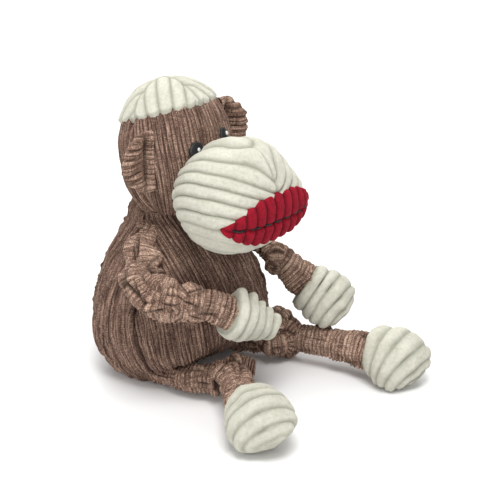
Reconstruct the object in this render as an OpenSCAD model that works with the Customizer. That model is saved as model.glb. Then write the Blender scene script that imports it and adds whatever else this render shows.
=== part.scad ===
// Sitting corduroy monkey with knotted limbs. Millimetres, +Z up, the face looks along -Y.
// The origin is on the floor, under the middle of the belly.

/* [Torso] */
// Widest diameter of the belly
belly_d = 122; // [114:1:126]
// Height of the belly's widest ring above the floor
belly_z = 44; // [42:0.5:46]
// Length of the torso above that ring, along its leaning axis
chest_h = 62; // [58:1:64]
// Depth of the rounded bottom below that ring, before the floor flattens it
seat_h = 52; // [50:1:54]
// Diameter of the torso's top, where the neck is sewn on
collar_d = 56; // [50:1:60]
// Backward lean of the torso
torso_lean = 12; // [8:1:14]
// Where the flat seat ends at the front: a negative value is in front of the origin
seat_front_y = -11; // [-12:1:-8]
// Slope of the belly's underside, in front of the seat
underside_slope = 38; // [37:1:40]

/* [Head] */
// Diameter of the head
head_d = 80; // [76:1:82]
// Height of the head along its own axis
head_h = 100; // [96:1:102]
// Backward tilt of the head
head_tilt = 12; // [8:1:14]
// Height of the crown cap's edge above the middle of the head
cap_edge_h = 25; // [20:1:32]
// How much further back than the head the cap's edge tilts
cap_lean = 8; // [0:1:12]
// Radius of an ear
ear_r = 20; // [16:1:22]
// Diameter of an embroidered eye
eye_d = 10; // [8:0.5:11]
// Distance between the eyes' centres
eye_gap = 27; // [24:1:32]

/* [Muzzle] */
// Width of the muzzle across the lip corners
muzzle_w = 92; // [88:1:94]
// Diameter of the muzzle seen from the side
muzzle_d = 78; // [76:1:80]
// Height of the lips at their middle
lips_h = 37; // [30:1:38]
// Width of the lips
lips_w = 86; // [78:1:86]
// Downward angle of the lips' middle
lips_drop = 14; // [10:1:18]
// Number of running stitches along the mouth
mouth_stitches = 9; // [5:1:11]

/* [Limbs] */
// Radius of the knot in an arm
arm_knot_r = 14; // [12:0.5:15]
// Radius of the knot in a leg
leg_knot_r = 15; // [13:0.5:15.5]
// Radius of a hand
hand_r = 14; // [13:0.5:15]
// Radius of the ankles
ankle_r = 14; // [13:0.5:15]
// Radius of a foot
foot_r = 19; // [17:0.5:19.5]
// Radius of the wrists
wrist_r = 12.5; // [11.5:0.5:13]
// Radius of the shoulder balls
shoulder_r = 10; // [8:0.5:10.5]
// Radius of the elbow balls
elbow_r = 10; // [9:0.5:10.5]
// Radius of the hip balls
hip_r = 7; // [6:0.5:7.5]

/* [Cloth] */
// Thickness of the sewn corduroy
cloth_t = 2; // [1.5:0.25:2.5]
// Clearance between a sewn ball joint and its socket
joint_gap = 0.5; // [0.4:0.05:0.7]

/* [Hidden] */
$fn = 48;
CREAM = "#d8dac9";
BROWN = "#735a4e";
RED = "#a5192d";
BLACK = "#111111";
FILL = "#f4f2ea";
SIDES = ["right", "left"];
PAIRED = ["ear_front", "ear_back", "eye", "eye_glint", "muzzle_cheek", "upper_sleeve", "arm_knot",
    "forearm_sleeve", "hand_cover", "hand_filling", "thigh_sleeve", "leg_knot", "shin_sleeve",
    "foot_cover", "foot_filling"];

slack = 0.2;      // room between pieces that lie on each other
big = 200;        // reach of a cutting block
arc_step = 9;     // angle between the points of a round outline
facets = 10;      // straight pieces in the outline of the chest
pear_bulge = 1.8; // higher is fuller under the collar
muzzle_bulge = 2.6; // higher is blunter at the lip corners
squeaker_body = [18, 12]; // radius and height
squeaker_head = [14, 10]; // radius and height
reed_h = 6;       // height of a squeaker's neck
closing_count = 6;  // stitches that close the back
closing_first = 14; // height of the lowest above the belly's widest ring
closing_pitch = 6;  // from one to the next
closing_len = 5;
closing_r = 0.5;
eye_h = 1.8;      // how far an eye stands out
eye_sink = 0.4;   // room between an eye and the face
glint_d = 2.4;
glint_h = 0.5;
glint_shift = 0.5; // from the eye's middle, outwards and up
mouth_margin = 8; // from a lip corner to the first mouth stitch
mouth_r = 0.6;    // radius of the mouth thread
mouth_proud = 0.9; // from the lips to the thread's middle
mouth_fill = 0.7; // share of a stitch's pitch that shows
taper = 4;        // how much slimmer a sleeve is than the ball at its end
tip_r = 11;       // from the middle of the fingertips or toes to their end
mitt_widest = 0.6; // where a hand or foot is widest, as a share of its length
cuff_at = 0.4;    // where its cover starts behind the seated ball's middle, as a share of the ball
belly_r = belly_d / 2;
collar_r = collar_d / 2;
head_r = head_d / 2;
muzzle_r = muzzle_d / 2;
belly_c = [0, 0, belly_z];
// Middles of the head, muzzle, neck ball and left ear's root
head_c = [0, 4, 165];
muzzle_c = [0, -53, 139];
neck_c = [0, 8, 117];
neck_r = 16;
eye_z = 2;        // height of the eyes above the head's middle
ear_c = [head_r - 1, -5, 165];
ear_gap = 2.5;    // from an ear's centre to its root, clear of the head

// Centres along each arm: shoulder, elbow, knot, wrist, middle of the fingertips
ARMS = [
    [[-43, -4, 95], [-60, -11, 81], [-49, -47, 76], [-23, -69, 65], [-1, -82, 53]],
    [[43, -4, 95], [59, -20, 81], [54, -50, 73], [68, -61, 52], [77, -84, 43]]];
// Centres along each leg: hip, knee knot, ankle, middle of the toes
LEGS = [
    [[-38, -24, 8], [-24, -61, 16], [-48, -103, 20], [-63, -141, 19]],
    [[38, -24, 8], [54, -54, 16], [72, -106, 18], [75, -147, 20]]];

function mirrored(p, s) = [s == 0 ? -p[0] : p[0], p[1], p[2]];

// Turns +Z to the direction v
module aim(v) {
    rotate([0, acos(v[2] / norm(v)), atan2(v[1], v[0])]) children();
}

// A straight stretch of sleeve from point a, radius ra, to point b, radius rb
module stretch(a, ra, b, rb) {
    translate(a) aim(b - a) cylinder(h = norm(b - a), r1 = ra, r2 = rb);
}

module ball(c, r) {
    translate(c) sphere(r = r);
}

// The half space behind (y < 0) or in front (y > 0) of a seam, which the panel on the side y leaves out
module across(y) {
    translate([-big, y < 0 ? -slack / 2 : slack / 2 - 2 * big, -big]) cube(2 * big);
}

// The half space above (1) or below (-1) a seam, with the seam's own gap
module beyond(way) {
    translate([-big, -big, way > 0 ? -slack / 2 : slack / 2 - 2 * big]) cube(2 * big);
}

// Everything below the height h
module below(h) {
    translate([-big, -big, h - 2 * big]) cube(2 * big);
}

// ---- torso ----

// Radius of the pear shape at height z along its axis, drawn in by d
function pear_r(z, d) = z < 0
    ? (belly_r - d) * sqrt(max(0, 1 - pow(z / (seat_h - d), 2)))
    : collar_r - d + (belly_r - collar_r) * (1 - pow(z / chest_h, pear_bulge));

function pear_outline(d) = concat(
    [for (a = [-90:arc_step:-arc_step]) [(belly_r - d) * cos(a), (seat_h - d) * sin(a)]],
    [for (i = [0:facets]) let (z = (chest_h - d) * i / facets) [pear_r(z, d), z]],
    [[0, chest_h - d]]);

// Places what follows on the torso's leaning axis
module on_torso() {
    translate(belly_c) rotate([-torso_lean, 0, 0]) children();
}

module pear(d) {
    on_torso() rotate_extrude() polygon(pear_outline(d));
}

// What the floor and the sloping underside take off the pear
module under_seat(d) {
    below(d);
    translate([0, seat_front_y, 0]) rotate([-underside_slope, 0, 0])
        translate([-big, -big, d - 2 * big]) cube(2 * big);
}

// Sockets for the neck, shoulder and hip balls
module torso_sockets() {
    ball(neck_c, neck_r + joint_gap);
    for (s = [0, 1]) {
        ball(ARMS[s][0], shoulder_r + joint_gap);
        ball(LEGS[s][0], hip_r + joint_gap);
    }
}

// Half of the pear's cloth, on the side of the sign of y
module torso_panel(y) {
    difference() {
        pear(0);
        pear(cloth_t);
        under_seat(0);
        torso_sockets();
        on_torso() across(y);
    }
}

module front_panel() {
    color(BROWN) torso_panel(-1);
}

module back_panel() {
    color(BROWN) torso_panel(1);
}

module base_panel() {
    color(BROWN) difference() {
        pear(cloth_t + slack);
        under_seat(0);
        torso_sockets();
        difference() {
            translate([-big, -big, -big]) cube(2 * big);
            under_seat(cloth_t);
        }
    }
}

module torso_filling() {
    color(FILL) difference() {
        pear(cloth_t + slack);
        under_seat(cloth_t + slack);
        torso_sockets();
        squeaker_shape(belly_c, squeaker_body, slack);
    }
}

// A round squeaker with a short reed neck
module squeaker_shape(c, size, grow) {
    r = size[0] + grow;
    h = size[1] + grow;
    translate(c - [0, 0, h / 2]) {
        cylinder(h = h, r = r);
        cylinder(h = h + reed_h, r = r / 3);
    }
}

module body_squeaker() {
    color("white") squeaker_shape(belly_c, squeaker_body, 0);
}

// Hand-sewn stitches that close the back after filling
module closing_stitches() {
    color(BROWN) on_torso() for (i = [0:closing_count - 1]) {
        z = closing_first + i * closing_pitch;
        translate([0, pear_r(z, 0) + closing_r + slack, z]) rotate([0, 90, 0])
            cylinder(h = closing_len, r = closing_r, center = true);
    }
}

module neck_filling() {
    color(FILL) ball(neck_c, neck_r);
}

// ---- head ----

function egg_outline(d) = [for (a = [-90:arc_step:90]) [(head_r - d) * cos(a), (head_h / 2 - d) * sin(a)]];

module on_head() {
    translate(head_c) rotate([-head_tilt, 0, 0]) children();
}

module egg(d) {
    on_head() rotate_extrude() polygon(egg_outline(d));
}

module head_shell() {
    difference() {
        egg(0);
        egg(cloth_t);
        ball(neck_c, neck_r + joint_gap);
    }
}

// A block above (1) or below (-1) the crown cap's edge
module at_cap(way) {
    on_head() translate([0, 0, cap_edge_h]) rotate([-cap_lean, 0, 0]) beyond(way);
}

module head_half(y) {
    difference() {
        head_shell();
        at_cap(1);
        on_head() across(y);
    }
}

module face_panel() {
    color(BROWN) head_half(-1);
}

module back_head_panel() {
    color(BROWN) head_half(1);
}

module crown_cap() {
    color(CREAM) difference() {
        head_shell();
        at_cap(-1);
    }
}

module head_filling() {
    color(FILL) difference() {
        egg(cloth_t + slack);
        ball(neck_c, neck_r + joint_gap);
        squeaker_shape(head_c, squeaker_head, slack);
    }
}

module head_squeaker() {
    color("white") squeaker_shape(head_c, squeaker_head, 0);
}

// Places an eye's own frame, z outwards, on the face
module on_face(x) {
    on_head() rotate([0, 0, asin(x / head_r)]) translate([0, -head_r - eye_sink, eye_z])
        rotate([90, 0, 0]) children();
}

// A low dome of diameter d and height h
module dome(d, h) {
    rotate_extrude() polygon(concat([[0, 0]], [for (a = [0:15:90]) [d / 2 * cos(a), h * sin(a)]]));
}

module eye(s) {
    color(BLACK) on_face(mirrored([eye_gap / 2, 0, 0], s)[0]) dome(eye_d, eye_h);
}

module eye_glint(s) {
    color("white") on_face(mirrored([eye_gap / 2, 0, 0], s)[0])
        translate([glint_shift, glint_shift, eye_h + slack / 4]) dome(glint_d, glint_h);
}

// One layer of a half-round ear, on its upright root, in front (-1) or behind (1)
module ear_layer(s, way) {
    translate(mirrored(ear_c, s)) mirror([s == 0 ? 1 : 0, 0, 0]) intersection() {
        rotate([90, 0, 0]) translate([0, 0, way < 0 ? slack / 2 : -cloth_t - slack / 2])
            cylinder(h = cloth_t, r = ear_r);
        translate([ear_gap, -big, -big]) cube(2 * big);
    }
}

module ear_front(s) {
    color(BROWN) ear_layer(s, -1);
}

module ear_back(s) {
    color(BROWN) ear_layer(s, 1);
}

// ---- muzzle ----

// Radius of the muzzle around its left-right axis at the distance x from its middle
function muzzle_radius(x, d) = (muzzle_r - d)
    * sqrt(max(0, 1 - pow(abs(x) / (muzzle_w / 2 - d), muzzle_bulge)));

function muzzle_outline(d) = [for (i = [-12:12]) let (x = (muzzle_w / 2 - d) * sin(i * 7.5))
    [muzzle_radius(x, d), x]];

module muzzle_shape(d) {
    translate(muzzle_c) rotate([0, 90, 0]) rotate_extrude() polygon(muzzle_outline(d));
}

// A lens seen from the front, as deep as the front half of the muzzle
module lips_prism(grow) {
    half = lips_w / 2 + grow;
    rise = lips_h / 2 + grow;
    arc_r = (half * half + rise * rise) / (2 * rise);
    translate(muzzle_c) rotate([lips_drop, 0, 0]) rotate([90, 0, 0])
        linear_extrude(2 * muzzle_r) intersection() {
            translate([0, rise - arc_r]) circle(r = arc_r, $fn = 96);
            translate([0, arc_r - rise]) circle(r = arc_r, $fn = 96);
        }
}

// The head and the room around the eyes, which the muzzle leaves free
module behind_muzzle() {
    egg(-slack);
    for (x = [-eye_gap / 2, eye_gap / 2]) on_face(x) sphere(r = eye_d / 2 + joint_gap);
}

module muzzle_shell() {
    difference() {
        muzzle_shape(0);
        muzzle_shape(cloth_t);
        behind_muzzle();
    }
}

// Everything above (1) or below (-1) the slanted plane through the lip corners
module at_mouth(way) {
    translate(muzzle_c) rotate([lips_drop, 0, 0]) beyond(way);
}

module muzzle_cheek(s) {
    color(CREAM) difference() {
        muzzle_shell();
        at_mouth(-1);
        lips_prism(slack);
        translate([s == 0 ? -slack / 2 : -2 * big + slack / 2, -big, -big]) cube(2 * big);
    }
}

module chin_panel() {
    color(CREAM) difference() {
        muzzle_shell();
        at_mouth(1);
        lips_prism(slack);
    }
}

module lips_panel() {
    color(RED) intersection() {
        muzzle_shell();
        lips_prism(0);
    }
}

module muzzle_filling() {
    color(FILL) difference() {
        muzzle_shape(cloth_t + slack);
        behind_muzzle();
    }
}

// A point on the mouth line, just proud of the lips
function mouth_point(x) = let (r = muzzle_radius(x, 0) + mouth_proud)
    muzzle_c + [x, -r * cos(lips_drop), -r * sin(lips_drop)];

module mouth_stitching() {
    pitch = (lips_w - 2 * mouth_margin) / mouth_stitches;
    color(BLACK) for (i = [0:mouth_stitches - 1]) {
        x = (i - mouth_stitches / 2 + (1 - mouth_fill) / 2) * pitch;
        stretch(mouth_point(x), mouth_r, mouth_point(x + mouth_fill * pitch), mouth_r);
    }
}

// ---- arms ----

// A sleeve's end, hollowed to sit on the ball at c
module seated_on(c, r) {
    difference() {
        children();
        ball(c, r + joint_gap);
    }
}

module upper_sleeve(s) {
    p = ARMS[s];
    color(BROWN) seated_on(p[1], elbow_r) {
        ball(p[0], shoulder_r);
        stretch(p[0], shoulder_r - taper, p[1], elbow_r - taper);
    }
}

module forearm_sleeve(s) {
    p = ARMS[s];
    color(BROWN) difference() {
        union() {
            ball(p[1], elbow_r);
            stretch(p[1], elbow_r - taper / 2, p[2], elbow_r - 1);
            stretch(p[2], elbow_r - 1, p[3], wrist_r - taper);
        }
        ball(p[2], arm_knot_r + slack);
        ball(p[3], wrist_r + joint_gap);
    }
}

module arm_knot(s) {
    color(BROWN) ball(ARMS[s][2], arm_knot_r);
}

// Radius of a hand or foot at the distance z from the middle of its seated ball, drawn in by d
function mitt_r(z, len, ra, rb, d) = let (mid = len * mitt_widest)
    z < 0 ? sqrt(max(0, pow(ra - d, 2) - z * z))
    : z < mid ? (ra + rb) / 2 - d - (rb - ra) / 2 * cos(180 * z / mid)
    : (rb - d) * sqrt(max(0, 1 - pow((z - mid) / (len - d - mid), 2)));

function mitt_outline(len, ra, rb, d) = [for (a = [0:arc_step:180])
    let (z = (len + ra - 2 * d) * (1 - cos(a)) / 2 - ra + d) [mitt_r(z, len, ra, rb, d), z]];

// Hand or foot from its seated ball at a to past its tip
module mitt(a, tip, ra, rb, d) {
    translate(a) aim(tip - a) rotate_extrude() polygon(mitt_outline(norm(tip - a) + tip_r, ra, rb, d));
}

// The cloth of a hand or foot, open at the seated ball
module mitt_cover(a, tip, ra, rb) {
    difference() {
        mitt(a, tip, ra, rb, 0);
        mitt(a, tip, ra, rb, cloth_t);
        translate(a) aim(tip - a) below(-ra * cuff_at);
    }
}

module hand_cover(s) {
    color(CREAM) mitt_cover(ARMS[s][3], ARMS[s][4], wrist_r, hand_r);
}

module hand_filling(s) {
    color(FILL) mitt(ARMS[s][3], ARMS[s][4], wrist_r, hand_r, cloth_t + slack);
}

// ---- legs ----

module thigh_sleeve(s) {
    p = LEGS[s];
    color(BROWN) seated_on(p[1], leg_knot_r) {
        ball(p[0], hip_r);
        stretch(p[0], hip_r - taper, p[1], hip_r + 2);
    }
}

module leg_knot(s) {
    color(BROWN) ball(LEGS[s][1], leg_knot_r);
}

module shin_sleeve(s) {
    p = LEGS[s];
    color(BROWN) difference() {
        stretch(p[1], ankle_r - taper, p[2], ankle_r - taper);
        ball(p[1], leg_knot_r + slack);
        ball(p[2], ankle_r + joint_gap);
    }
}

module foot_cover(s) {
    color(CREAM) mitt_cover(LEGS[s][2], LEGS[s][3], ankle_r, foot_r);
}

module foot_filling(s) {
    color(FILL) mitt(LEGS[s][2], LEGS[s][3], ankle_r, foot_r, cloth_t + slack);
}

front_panel();
back_panel();
base_panel();
torso_filling();
body_squeaker();
closing_stitches();
neck_filling();
face_panel();
back_head_panel();
crown_cap();
head_filling();
head_squeaker();
chin_panel();
lips_panel();
muzzle_filling();
mouth_stitching();
for (s = [0, 1]) {
    ear_front(s);
    ear_back(s);
    eye(s);
    eye_glint(s);
    muzzle_cheek(s);
    upper_sleeve(s);
    arm_knot(s);
    forearm_sleeve(s);
    hand_cover(s);
    hand_filling(s);
    thigh_sleeve(s);
    leg_knot(s);
    shin_sleeve(s);
    foot_cover(s);
    foot_filling(s);
}
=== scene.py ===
import math

import bpy
import numpy as np
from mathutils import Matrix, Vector


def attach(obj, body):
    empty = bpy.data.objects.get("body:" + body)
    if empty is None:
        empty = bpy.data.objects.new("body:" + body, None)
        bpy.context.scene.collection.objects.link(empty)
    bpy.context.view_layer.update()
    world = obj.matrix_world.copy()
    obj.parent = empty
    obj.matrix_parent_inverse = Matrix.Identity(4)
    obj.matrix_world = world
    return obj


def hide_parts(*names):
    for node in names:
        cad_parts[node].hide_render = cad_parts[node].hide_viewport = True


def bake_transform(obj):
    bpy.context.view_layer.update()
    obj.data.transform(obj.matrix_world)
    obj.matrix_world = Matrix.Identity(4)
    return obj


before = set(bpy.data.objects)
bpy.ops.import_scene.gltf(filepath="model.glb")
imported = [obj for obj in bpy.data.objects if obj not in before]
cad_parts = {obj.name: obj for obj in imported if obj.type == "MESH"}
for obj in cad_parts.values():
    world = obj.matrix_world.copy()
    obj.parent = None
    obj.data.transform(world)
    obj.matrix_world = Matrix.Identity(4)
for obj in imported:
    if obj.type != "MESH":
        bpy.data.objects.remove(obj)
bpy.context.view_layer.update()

# Pieces are worked out in millimetres in the frame's axes, and turned to metres when a mesh is made.
MM = 0.001
TAU = 2 * math.pi

# ---- numbers on arrays

LATTICE_N = 32
LATTICE = np.random.default_rng(11).random((*[LATTICE_N] * 3, 3)) * 2 - 1
RIB_DRAWS = np.random.default_rng(23).random(4096)


def vec(*p):
    return np.array(p, float)


def unit(v):
    return v / np.maximum(np.linalg.norm(v, axis=-1, keepdims=True), 1e-9)


def noise3(p, size):
    """Smooth value noise of three channels, -1 to 1, with features of that size."""
    q = np.asarray(p) / size + 517.0
    i = np.floor(q).astype(int)
    f = q - i
    f = f * f * (3 - 2 * f)
    i %= LATTICE_N
    j = (i + 1) % LATTICE_N
    out = 0
    for ix, wx in ((i[..., 0], 1 - f[..., 0]), (j[..., 0], f[..., 0])):
        for iy, wy in ((i[..., 1], 1 - f[..., 1]), (j[..., 1], f[..., 1])):
            for iz, wz in ((i[..., 2], 1 - f[..., 2]), (j[..., 2], f[..., 2])):
                out = out + LATTICE[ix, iy, iz] * (wx * wy * wz)[..., None]
    return out


def noise(p, size, channel=0):
    return noise3(p, size)[..., channel]


def turn(count):
    """That many angles, evenly once round."""
    return TAU * np.linspace(0, 1, count, endpoint=False)


def smoothstep(a, b, x):
    t = np.clip((x - a) / (b - a), 0, 1)
    return t * t * (3 - 2 * t)


def near(x, middle, width):
    """A bell, 1 at the middle."""
    return np.exp(-(((x - middle) / width) ** 2))


def smooth_max(a, b, k):
    h = np.clip(0.5 + 0.5 * (a - b) / k, 0, 1)
    return a * h + b * (1 - h) + k * h * (1 - h)


def normals(p, wrap_u=False, wrap_v=False):
    """Outward or inward normals of a grid, from its neighbours."""

    def step(axis, wrap):
        if wrap:
            return np.roll(p, -1, axis) - np.roll(p, 1, axis)
        return np.gradient(p, axis=axis)

    return unit(np.cross(step(0, wrap_u), step(1, wrap_v)))


def ribs(s, pitch, sharp):
    """Height 0..1 of a rib across the cloth at s, how deep in a groove that is (the weight of the painted
    shade there), and which rib it is.

    s starts at a number well above 0 on every piece, so that ribs are never counted through 0.
    """
    x = s / pitch
    k = np.floor(x).astype(int)
    q = np.abs(2 * (x - k) - 1)
    return 1 - q**sharp, q**4, k


def rib_luck(k):
    """A number 0..1 that belongs to rib k."""
    return RIB_DRAWS[k % len(RIB_DRAWS)]


# ---- meshes

MATERIALS = {}
WELD_DISTANCE = 0.00002


def quads_of(index, grid):
    """The quads of a sheet of vertex numbers, closed round where the grid wraps."""
    a = index if grid.get("wrap_u") else index[:-1]
    b = np.roll(index, -1, 0) if grid.get("wrap_u") else index[1:]
    if grid.get("wrap_v"):
        a2, b2 = np.roll(a, -1, 1), np.roll(b, -1, 1)
    else:
        a, a2, b, b2 = a[:, :-1], a[:, 1:], b[:, :-1], b[:, 1:]
    quads = np.stack([a, b, b2, a2], -1).reshape(-1, 4)
    return quads[:, ::-1] if grid.get("flip") else quads


def sheet(p, s, t, groove_shade=0, tone=0, **ways):
    """A grid of points with cloth coordinates s and t, a groove depth that weights the painted shade, and a
    tone.

    It may wrap round in u or v (wrap_u, wrap_v), and flip turns its faces over.
    """
    return {"p": p, "s": s, "t": t, "groove_shade": groove_shade, "tone": tone, **ways}


def add_mesh(name, grids, slot, body, replaces, material=None):
    verts, faces, fabric, groove_shade = [], [], [], []
    base = 0
    for g in grids:
        shape = g["p"].shape[:2]
        count = shape[0] * shape[1]
        faces.append(quads_of(base + np.arange(count).reshape(shape), g))
        verts.append(g["p"].reshape(-1, 3))
        s, t, tone, deep = (g[key] + np.zeros(shape) for key in ("s", "t", "tone", "groove_shade"))
        fabric.append(np.stack([s, t, tone], -1).reshape(-1, 3))
        groove_shade.append(deep.reshape(-1))
        base += count
    verts = np.concatenate(verts) * MM
    quads = np.concatenate(faces)
    mesh = bpy.data.meshes.new(name)
    mesh.vertices.add(len(verts))
    mesh.vertices.foreach_set("co", verts.astype(np.float32).ravel())
    mesh.loops.add(quads.size)
    mesh.loops.foreach_set("vertex_index", quads.astype(np.int32).ravel())
    mesh.polygons.add(len(quads))
    mesh.polygons.foreach_set("loop_start", np.arange(0, quads.size, 4, dtype=np.int32))
    mesh.update(calc_edges=True)
    mesh.validate()
    fab = mesh.attributes.new("fab", "FLOAT_VECTOR", "POINT")
    fab.data.foreach_set("vector", np.concatenate(fabric).astype(np.float32).ravel())
    # the weight of the painted shade in grooves, seams and creases, read by the materials
    depth = mesh.attributes.new("groove_shade", "FLOAT", "POINT")
    depth.data.foreach_set("value", np.clip(np.concatenate(groove_shade), 0, 1).astype(np.float32))
    mesh.polygons.foreach_set("use_smooth", np.ones(len(mesh.polygons), bool))
    obj = bpy.data.objects.new(name, mesh)
    bpy.context.scene.collection.objects.link(obj)
    weld = obj.modifiers.new("weld", "WELD")
    weld.merge_threshold = WELD_DISTANCE
    bpy.context.view_layer.objects.active = obj
    with bpy.context.temp_override(object=obj, active_object=obj, selected_objects=[obj]):
        bpy.ops.object.modifier_apply(modifier=weld.name)
    mesh = obj.data
    mesh.materials.append(MATERIALS[material or slot])
    if body:
        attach(obj, body)
    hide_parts(*replaces)
    return obj


# ---- materials


class Nodes:
    """A short way to write a material's nodes."""

    def __init__(self, name):
        self.mat = bpy.data.materials.new(name)
        self.mat.use_nodes = True
        self.tree = self.mat.node_tree
        self.bsdf = next(n for n in self.tree.nodes if n.type == "BSDF_PRINCIPLED")
        MATERIALS[name] = self.mat

    def feed(self, socket, value):
        """Links a node's output to the socket, or sets the value, giving a colour its alpha."""
        if isinstance(value, bpy.types.NodeSocket):
            self.tree.links.new(value, socket)
        else:
            socket.default_value = (*value, 1) if socket.type == "RGBA" else value

    def node(self, kind, inputs=None, **props):
        n = self.tree.nodes.new(kind)
        for k, v in props.items():
            setattr(n, k, v)
        for k, v in (inputs or {}).items():
            self.feed(n.inputs[k], v)
        return n

    def math(self, op, a, b=0.0, c=0.0):
        return self.node("ShaderNodeMath", {0: a, 1: b, 2: c}, operation=op).outputs[0]

    def noise(self, vector, scale, detail=3.0, rough=0.6):
        return self.node(
            "ShaderNodeTexNoise", {"Vector": vector, "Scale": scale, "Detail": detail, "Roughness": rough}
        ).outputs["Fac"]

    def scaled(self, vector, by):
        return self.node("ShaderNodeVectorMath", {0: vector, 1: by}, operation="MULTIPLY").outputs[0]

    def ramp(self, fac, stops):
        n = self.node("ShaderNodeValToRGB", {"Fac": fac})
        while len(n.color_ramp.elements) < len(stops):
            n.color_ramp.elements.new(0.5)
        for e, (pos, col) in zip(n.color_ramp.elements, stops):
            e.position = pos
            e.color = (*col, 1)
        return n.outputs["Color"]

    def mix(self, fac, a, b):
        return self.node("ShaderNodeMix", {0: fac, 6: a, 7: b}, data_type="RGBA").outputs[2]

    def attribute(self, name, out="Vector"):
        return self.node("ShaderNodeAttribute", attribute_name=name).outputs[out]

    def place(self):
        return self.node("ShaderNodeTexCoord").outputs["Object"]

    def done(self, color, rough, bump, strength, distance, sheen=0.0, tint=(1, 1, 1), sheen_rough=0.5):
        height = self.node("ShaderNodeBump", {"Height": bump, "Strength": strength, "Distance": distance})
        values = {
            "Base Color": color,
            "Roughness": rough,
            "Normal": height.outputs[0],
            "Sheen Weight": sheen,
            "Sheen Roughness": sheen_rough,
            "Sheen Tint": tint,
            "Specular IOR Level": 0.2,
        }
        for name, value in values.items():
            self.feed(self.bsdf.inputs[name], value)


def srgb(r, g, b):
    return tuple((c / 255 / 12.92) if c <= 10 else ((c / 255 + 0.055) / 1.055) ** 2.4 for c in (r, g, b))


# painted shade: the dark brown mixed into the grooves, seams and creases
BROWN_GROOVE_SHADE = srgb(36, 25, 20)
BROWN_MOTTLING = 0.55


def corduroy(name, dark, mid, light, hatch):
    """Fine corduroy woven from mixed yarns: light flecks along the ribs, a crosswise hatch, and painted shade
    in the grooves, seams and creases.
    """
    n = Nodes(name)
    fab = n.attribute("fab")
    groove_shade = n.attribute("groove_shade", "Fac")
    along = n.noise(n.scaled(fab, (1.9, 0.055, 8.0)), 1.0, 2.5, 0.6)
    across = n.noise(n.scaled(fab, (0.22, 1.7, 3.0)), 1.0, 3.0, 0.6)
    patch = n.noise(n.scaled(fab, (0.08, 0.05, 1.0)), 1.0, 2.0, 0.5)
    pile = n.noise(n.place(), 1300.0, 3.0, 0.7)
    mixed = n.math("ADD", n.math("MULTIPLY", along, 0.80 - hatch), n.math("MULTIPLY", across, hatch))
    mixed = n.math("ADD", mixed, n.math("MULTIPLY", patch, 0.20))
    mixed = n.math("ADD", mixed, n.math("MULTIPLY_ADD", pile, BROWN_MOTTLING, -BROWN_MOTTLING / 2))
    color = n.ramp(mixed, [(0.36, dark), (0.50, mid), (0.68, light)])
    # painted shade in the grooves, seams and creases
    color = n.mix(n.math("MULTIPLY", groove_shade, 0.88), color, BROWN_GROOVE_SHADE)
    bump = n.math("ADD", n.math("MULTIPLY", pile, 0.6), n.math("MULTIPLY", across, 0.8))
    n.done(color, 0.95, bump, 0.55, 0.0006, 0.25, mid, 0.6)


def plush(name, base, shade, groove_shade_color, sheen_tint, sheen):
    """Broad soft corduroy with a short dense pile, and painted shade in its grooves and creases."""
    n = Nodes(name)
    groove_shade = n.attribute("groove_shade", "Fac")
    place = n.place()
    fab = n.attribute("fab")
    patch = n.noise(n.scaled(fab, (0.22, 0.10, 1.0)), 1.0, 3.0, 0.55)
    tuft = n.noise(place, 420.0, 3.0, 0.6)
    pile = n.noise(place, 2200.0, 2.0, 0.7)
    mixed = n.math("ADD", n.math("MULTIPLY", patch, 0.5), n.math("MULTIPLY", tuft, 0.5))
    mixed = n.math("ADD", mixed, n.math("MULTIPLY_ADD", pile, 0.3, -0.15))
    color = n.ramp(mixed, [(0.32, shade), (0.60, base)])
    # painted shade in the grooves and creases
    color = n.mix(n.math("MULTIPLY", groove_shade, 0.75), color, groove_shade_color)
    bump = n.math("ADD", n.math("MULTIPLY", pile, 0.55), n.math("MULTIPLY", tuft, 1.3))
    n.done(color, 0.92, bump, 0.6, 0.0007, sheen, sheen_tint, 0.5)


def thread(name, dark, light, rough, sheen):
    """Twisted thread."""
    n = Nodes(name)
    wave = n.node(
        "ShaderNodeTexWave",
        {"Vector": n.attribute("fab"), "Scale": 1.1, "Distortion": 1.5, "Detail": 2.0},
        wave_type="BANDS",
        bands_direction="DIAGONAL",
    ).outputs["Fac"]
    color = n.ramp(wave, [(0.2, dark), (0.9, light)])
    n.done(color, rough, wave, 0.5, 0.0003, sheen)
    n.feed(n.bsdf.inputs["Specular IOR Level"], 0.5)


def plastic(name):
    n = Nodes(name)
    grain = n.noise(n.place(), 900.0, 3.0)
    color = n.ramp(grain, [(0.3, srgb(214, 214, 208)), (0.7, srgb(232, 232, 226))])
    rough = n.node("ShaderNodeMapRange", {"Value": grain, "To Min": 0.35, "To Max": 0.55}).outputs[0]
    n.done(color, rough, grain, 0.1, 0.0002)


# One brown corduroy in two copies: the darker one carries painted shade (the head's shadow over the belly),
# the lighter limb and ear copy a painted lit tone; the limb copy also has more crosswise hatch.
corduroy("brown_corduroy", srgb(56, 41, 34), srgb(112, 87, 76), srgb(196, 166, 146), 0.24)
corduroy("limb_corduroy_lit", srgb(70, 51, 42), srgb(142, 113, 98), srgb(234, 205, 182), 0.34)
# the third colour of each plush is the painted shade in its grooves and creases
plush("cream_corduroy", srgb(207, 205, 191), srgb(184, 182, 167), srgb(132, 134, 118), (0.9, 0.9, 0.8), 0.12)
plush("red_corduroy", srgb(156, 18, 40), srgb(112, 9, 26), srgb(70, 4, 16), (0.8, 0.15, 0.2), 0.1)
thread("black_thread", srgb(8, 8, 10), srgb(34, 34, 38), 0.4, 0.0)
thread("white_thread", srgb(205, 205, 205), srgb(250, 250, 250), 0.35, 0.0)
thread("brown_thread", srgb(52, 38, 32), srgb(96, 74, 62), 0.7, 0.1)
plastic("squeaker_plastic")

# ---- surfaces seen from a middle


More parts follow.
